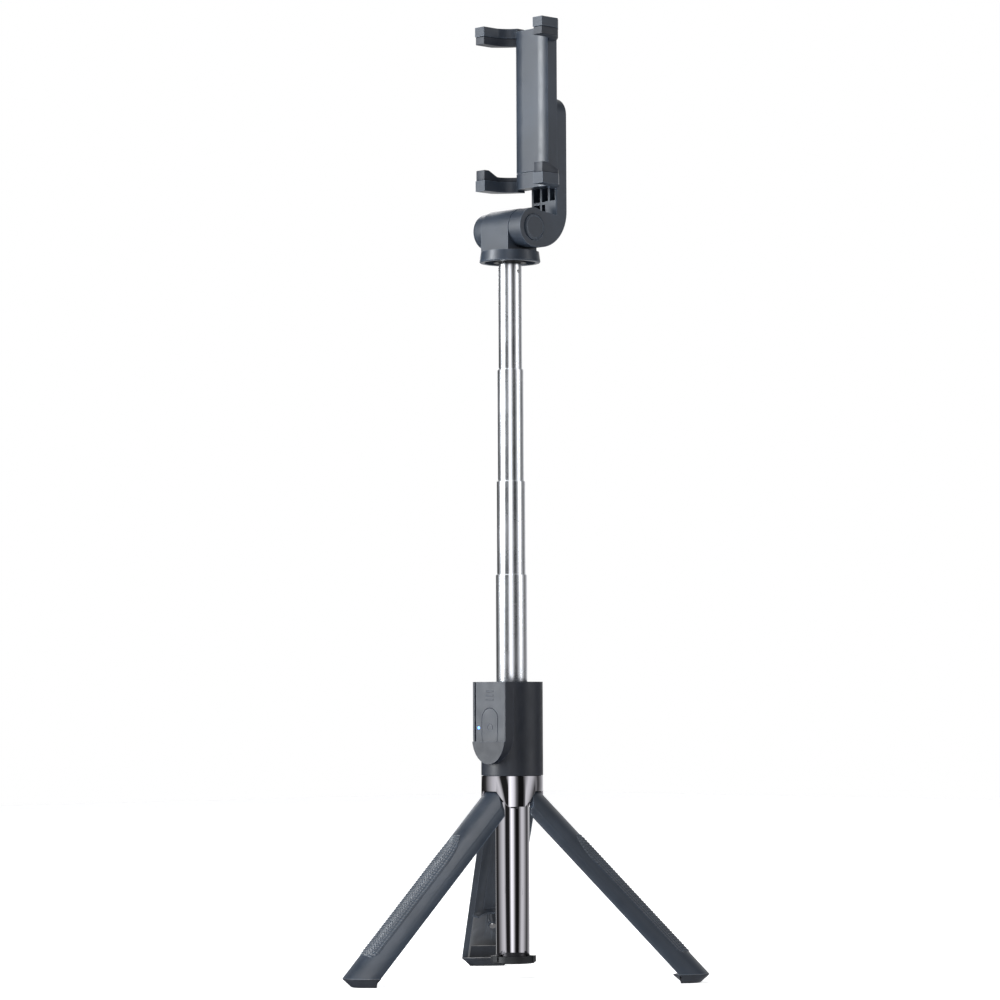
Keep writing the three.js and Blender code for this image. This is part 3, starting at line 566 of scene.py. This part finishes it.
def round_edges(obj, edge):
    """Rounds the sharp edges of a mesh by `edge`."""
    mesh = obj.data
    bm = bmesh.new()
    bm.from_mesh(mesh)
    bm.normal_update()
    limit = math.radians(SHARP_ANGLE)
    sharp = [e for e in bm.edges if len(e.link_faces) == 2 and e.calc_face_angle(0) > limit]
    bmesh.ops.bevel(
        bm,
        geom=sharp,
        offset=edge * MM,
        offset_type="OFFSET",
        segments=EDGE_SEGMENTS,
        profile=0.5,
        affect="EDGES",
        clamp_overlap=True,
    )
    bmesh.ops.remove_doubles(bm, verts=bm.verts, dist=1e-6)
    bm.to_mesh(mesh)
    bm.free()
    return obj


def refined(node_name, edge):
    """A CAD node's shape with rounded edges, standing for that node."""
    obj = round_edges(copied(node_name), edge)
    slot_name = SLOT_OF[node_name]
    even = obj.modifiers.new("even", "WEIGHTED_NORMAL")
    even.keep_sharp = True
    even.weight = 100
    body, material = BODY_OF[node_name], MATERIALS[slot_name]
    return finish(obj, f"{node_name}_fine", body, material, node_name, 40)


ROUNDED = {
    "holder_front": 0.45, "holder_back": 0.35, "lower_jaw": 0.4, "arm_frame": 0.4, "head_base": 0.5,
    "upper_pad_far": 0.3, "upper_pad_near": 0.3,
    "collar_shell": 0.4, "end_cap": 0.3, "remote_front_cover": 0.3, "remote_back_cover": 0.2,
    "remote_button": 0.15, "leg_hub": 0.2,
}


# ---- Legs: a skin that wraps the pole, and a grip of small pyramids along its back ----
def leg_matrix(angle):
    """From the folded leg, pin at the origin and pole axis at x = -PIN_REACH, to its open place."""
    return turn(angle) @ shift(PIN_REACH, 0, PIN_Z) @ turn(-LEG_SPREAD, "Y")


GRIP = {"top": -29.5, "bottom": -114.5, "half": 8.2, "pitch": 1.8, "proud": 0.12, "tall": 0.5}


def grip_half(z):
    """Half the grip's width at a height: rounded at its top end, blunter at its lower end."""
    top, bottom = GRIP["top"], GRIP["bottom"]
    near_top = min(1.0, (top - z) / 20)
    near_bottom = min(1.0, (z - bottom) / 5.0)
    round_top = math.sqrt(max(0.0, 1 - (1 - near_top) ** 2))
    round_bottom = math.sqrt(max(0.0, 1 - (1 - near_bottom) ** 2))
    return GRIP["half"] * round_top * round_bottom


def grip(angle):
    """A panel of staggered pyramids that follows the leg's round back."""
    rows = int((GRIP["top"] - GRIP["bottom"]) / (GRIP["pitch"] / 2))
    cols = int(2 * GRIP["half"] / (GRIP["pitch"] / 2))
    verts, faces, index = [], [], {}

    def point(i, j, height):
        z = GRIP["top"] - i * GRIP["pitch"] / 2
        half = max(grip_half(z), 0.01)
        across = (j / cols * 2 - 1) * half
        a = across / BODY_RADIUS
        r = BODY_RADIUS + height
        return (r * math.cos(a) - PIN_REACH, r * math.sin(a), z)

    for i in range(rows + 1):
        for j in range(cols + 1):
            rim = i in (0, rows) or j in (0, cols)
            peak = (i + j) % 2 == 0 and i % 2 == 0
            index[i, j] = len(verts)
            height = -0.3 if rim else GRIP["proud"] + (GRIP["tall"] if peak else 0)
            verts.append(point(i, j, height))
    for i in range(rows):
        for j in range(cols):
            faces.append((index[i, j], index[i, j + 1], index[i + 1, j + 1], index[i + 1, j]))
    top_count = len(verts)
    for i in range(rows + 1):
        for j in range(cols + 1):
            verts.append(point(i, j, -0.9))
    for i in range(rows):
        for j in range(cols):
            a, b, c, d = (index[i, j], index[i, j + 1], index[i + 1, j + 1], index[i + 1, j])
            faces.append((d + top_count, c + top_count, b + top_count, a + top_count))
    edge = [(0, j) for j in range(cols)] + [(i, cols) for i in range(rows)]
    edge += [(rows, j) for j in range(cols, 0, -1)] + [(i, 0) for i in range(rows, 0, -1)]
    for p, q in zip(edge, edge[1:] + edge[:1]):
        faces.append((index[q], index[p], index[p] + top_count, index[q] + top_count))
    return place(new_object("grip", verts, faces), leg_matrix(angle))


def foot_section(z):
    """The leg's level section at a height, as points of reach from the pole axis and width."""
    base = PIN_REACH + PIN_Z - z
    spread = [math.radians(-58.5 + 117 * i / 36) for i in range(37)]
    root2 = math.sqrt(2)
    points = []
    for a in spread:
        reach = base + root2 * (BODY_RADIUS * math.cos(a) - PIN_REACH)
        points.append((reach, BODY_RADIUS * math.sin(a)))
    back = base + root2 * (4.5 - PIN_REACH)
    return points + [(back, 6.9), (back, -6.9)]


def add_foot(name):
    """A cap that closes the leg, with a slope round its flat sole, and a plug inside the shell."""
    top = foot_section(-3.35)
    layers = [(0.05, -3.35), (0.0, -3.6), (0.25, -4.0), (3.9, -7.35), (4.15, -7.6), (4.5, FLOOR_Z)]
    verts = []
    for inset, z in layers:
        verts += [(x, y, z) for x, y in inset_outline(top, inset)]
    count = len(top)
    faces = [list(range(count))[::-1], [count * (len(layers) - 1) + i for i in range(count)]]
    for row in range(len(layers) - 1):
        for i in range(count):
            n = (i + 1) % count
            faces.append((row * count + i, row * count + n, (row + 1) * count + n, (row + 1) * count + i))
    cap = place(new_object("cap", verts, faces), turn(LEGS[name]))
    plug = copied(f"foot_{name}")
    bm = bmesh.new()
    bm.from_mesh(plug.data)
    level = (0, 0, -3.4 * MM)
    everything = bm.verts[:] + bm.edges[:] + bm.faces[:]
    bmesh.ops.bisect_plane(bm, geom=everything, plane_co=level, plane_no=(0, 0, 1), clear_inner=True)
    bmesh.ops.holes_fill(bm, edges=[e for e in bm.edges if e.is_boundary])
    bm.to_mesh(plug.data)
    bm.free()
    join(cap, plug)
    finish(cap, f"foot_{name}_fine", f"leg_{name}", MATERIALS["rubber"], f"foot_{name}", 30)


def add_legs():
    """The three legs, which the chrome does not reflect."""
    slate = MATERIALS["slate_plastic"]
    for name, angle in LEGS.items():
        refined(f"leg_shell_{name}", 0.45)
        add_foot(name)
        strip = grip(angle)
        finish(strip, f"leg_grip_{name}", f"leg_{name}", slate, None, 20)
        for part in (f"leg_shell_{name}_fine", f"leg_grip_{name}", f"foot_{name}_fine"):
            bpy.data.objects[part].visible_glossy = False


# ---- Pole ----
RIM_LIP = 0.15
TUBE_PIN_Z = 358


def add_tubes():
    """The four bright tubes, the pin through the thinnest, and the dark lower tube."""
    steel = MATERIALS["polished_steel"]
    for name, (radius, top) in TUBES.items():
        inner, bottom = radius - WALL, top - TUBE_LENGTH
        profile = [(radius, bottom + 0.15), (radius, top - 1.1)]
        lip = 0 if name == "tube_1" else RIM_LIP
        profile += curve_to((radius, top - 1.1), (radius, top - 0.1), (radius - 0.2, top), 5)
        profile += [(inner - lip + 0.06, top), (inner - lip, top - 0.12), (inner, top - 1.2)]
        profile += [(inner, bottom), (radius - 0.12, bottom)]
        tube = lathe(name, profile, 96)
        if name == "tube_1":
            cut(tube, place(cylinder("hole", 0.9, 3, 8, 0.05, 24), shift(0, 0, TUBE_PIN_Z) @ TO_X))
        finish(tube, f"{name}_fine", BODY_OF[name], steel, name, 50)
    dome = [(0, 4.5), (0.8, 4.5), (0.8, 6.1), (0.72, 6.2), (0.5, 6.27), (0, 6.3)]
    pin = place(lathe("pin", dome, 24, closed=False), shift(0, 0, TUBE_PIN_Z) @ TO_X)
    finish(pin, "tube_pin_fine", "pole_1", MATERIALS["hardware"], "tube_pin", 35)
    outer = [(8.7, 3.9), (8.7, 140.5), (8.5, 140.7), (8.35, 140.6), (8.35, 3.7), (8.55, 3.7)]
    tube = lathe("lower_tube_fine", outer, 96)
    finish(tube, "lower_tube_fine", "base", MATERIALS["dark_chrome"], "lower_tube", 50)


# How far across a leg the ring is notched in full, and where its slope meets the tongue.
NOTCH_HALF = 5.5
NOTCH_EDGE = 11.1


def ring_bottom(angle):
    """How low the ring reaches at an angle: notched over each leg, with a tongue between two legs."""
    away = min(abs((angle - leg + 180) % 360 - 180) for leg in LEGS.values())
    across = BODY_RADIUS * math.sin(math.radians(away))
    if across <= NOTCH_HALF:
        return RING_BOTTOM
    share = (across - NOTCH_HALF) / (NOTCH_EDGE - NOTCH_HALF)
    return max(TONGUE_BOTTOM, RING_BOTTOM - share * (RING_BOTTOM - TONGUE_BOTTOM))


def add_ring():
    """The chrome ring, with a notch over each leg and a rounded section all round."""
    angles = {round(i * 1.5, 3) for i in range(240)}
    for leg in LEGS.values():
        for across in (NOTCH_HALF, NOTCH_EDGE):
            lean = math.degrees(math.asin(across / BODY_RADIUS))
            angles |= {round((leg + lean) % 360, 3), round((leg - lean) % 360, 3)}
    angles = sorted(angles)
    verts, faces = [], []
    for angle in angles:
        low = ring_bottom(angle)
        a = math.radians(angle)
        section = [(16, RING_TOP - 0.25), (15.93, RING_TOP - 0.07), (15.75, RING_TOP), (15.1, RING_TOP)]
        section += [(RING_INNER, RING_TOP - 0.15), (RING_INNER, low + 0.15), (15.1, low), (15.72, low)]
        section += [(15.92, low + 0.08), (16, low + 0.28)]
        verts += [(r * math.cos(a), r * math.sin(a), z) for r, z in section]
    size = len(section)
    for k in range(len(angles)):
        n = (k + 1) % len(angles)
        for i in range(size):
            j = (i + 1) % size
            faces.append((k * size + i, k * size + j, n * size + j, n * size + i))
    ring = new_object("leg_ring_fine", verts, faces)
    finish(ring, "leg_ring_fine", "base", MATERIALS["dark_chrome"], "leg_ring", 35)


# ---- Head covers, turned about the hinge ----
def at_hinge(obj):
    """Lays a turned piece along X, on the tilt hinge."""
    return place(obj, shift(0, 0, HINGE_Z) @ TO_X)


def add_hinge_covers():
    """The round cap on the arm and the round cover on the tower."""
    slate = MATERIALS["slate_plastic"]
    plate = [(0, 19.1), (5.6, 19.1), (5.75, 18.95), (5.9, 19.1), (6.4, 19.05), (6.8, 18.85), (6.9, 18.5)]
    plate += [(6.9, 17.55), (6.85, 17.5), (0, 17.5)]
    cap = at_hinge(lathe("hinge_cap_fine", plate, 72, closed=False))
    finish(cap, "hinge_cap_fine", "arm", slate, "hinge_cap", 30)
    shell = [(0, -16), (6, -16), (6, -11.2), (9.4, -11.2), (9.6, -11.4), (9.6, -16.3)]
    shell += [(9.5, -17.2), (9.05, -18)]
    shell += [(8.2, -18.5), (6.4, -18.62), (6.2, -18.42), (6, -18.62), (0, -18.7)]
    cover = at_hinge(lathe("hinge_side_cover_fine", shell, 72, closed=False))
    finish(cover, "hinge_side_cover_fine", "head", slate, "hinge_side_cover", 30)


# ---- Marks on the remote: three grip bars and a plain ring on the button ----
DOCK = turn(DOCK_TURN)
REMOTE_FACE = -17.1
TOP_BAR_Z = 139.5
BAR_PITCH = 2.1
BUTTON_Z = 121.4


def add_remote_marks():
    """Plain raised bars on the cover, and a ring on the button."""
    plastic = MATERIALS["remote_plastic"]
    for k in range(3):
        z = TOP_BAR_Z - BAR_PITCH * k
        front, back = REMOTE_FACE - 0.22, REMOTE_FACE + 0.4
        bar = rounded_box("bar", -2.6, 2.6, front, back, z, z + 0.7, 0.2, 0.18)
        place(bar, DOCK)
        finish(bar, f"remote_bar_{k + 1}", "remote", plastic)
    section = [(1.5, -0.2), (1.5, 0.35), (2.0, 0.35), (2.0, -0.2), (1.9, -0.3), (1.6, -0.3)]
    icon = lathe("icon", section, 48)
    place(icon, DOCK @ shift(0, REMOTE_FACE + 0.15, BUTTON_Z) @ TO_Y)
    finish(icon, "remote_icon", "remote_button", plastic)


# ---- Lower pads, tall at their tips and sloping down towards the plate ----
PAD_TOP = 411.8
SLOPE_START = -5.5


def add_lower_pads():
    """The rubber of the lower hooks, cut down on the side next to the plate."""
    for side in ("far", "near"):
        node_name = f"lower_pad_{side}"
        pad = copied(node_name)
        bm = bmesh.new()
        bm.from_mesh(pad.data)
        everything = bm.verts[:] + bm.edges[:] + bm.faces[:]
        bmesh.ops.bisect_plane(bm, geom=everything, plane_co=(0, SLOPE_START * MM, 0), plane_no=(0, 1, 0))
        for v in bm.verts:
            if v.co.z > (PAD_TOP - 0.1) * MM and v.co.y > SLOPE_START * MM:
                v.co.z -= min(3.1 * MM, (v.co.y - SLOPE_START * MM) * 0.5)
        bmesh.ops.triangulate(bm, faces=[f for f in bm.faces if len(f.verts) > 4])
        bmesh.ops.dissolve_limit(bm, angle_limit=math.radians(2), verts=bm.verts, edges=bm.edges)
        bm.to_mesh(pad.data)
        bm.free()
        round_edges(pad, 0.25)
        finish(pad, f"{node_name}_fine", "jaw", MATERIALS["rubber"], node_name, 40)


def keep_lights_off_chrome(lights):
    """The mirror-like pieces reflect only the studio's walls, so that their bands stay clean."""
    chrome = bpy.data.collections.new("chrome")
    for name in ("leg_ring_fine", "lower_tube_fine"):
        chrome.objects.link(bpy.data.objects[name])
    for light in lights:
        light.light_linking.receiver_collection = chrome
    for link in chrome.collection_objects:
        link.light_linking.link_state = "EXCLUDE"


def give_cad_nodes_materials():
    """Gives every CAD node the material of its slot."""
    for name, node in frame["nodes"].items():
        for slot_ in node.material_slots:
            slot_.material = MATERIALS[SLOT_OF[name]]


add_camera()
soft_boxes = add_studio()
add_floor()
give_cad_nodes_materials()
add_tubes()
add_ring()
add_hinge_covers()
add_legs()
add_remote_marks()
add_lower_pads()
for node_name, edge in ROUNDED.items():
    refined(node_name, edge)
keep_lights_off_chrome(soft_boxes)
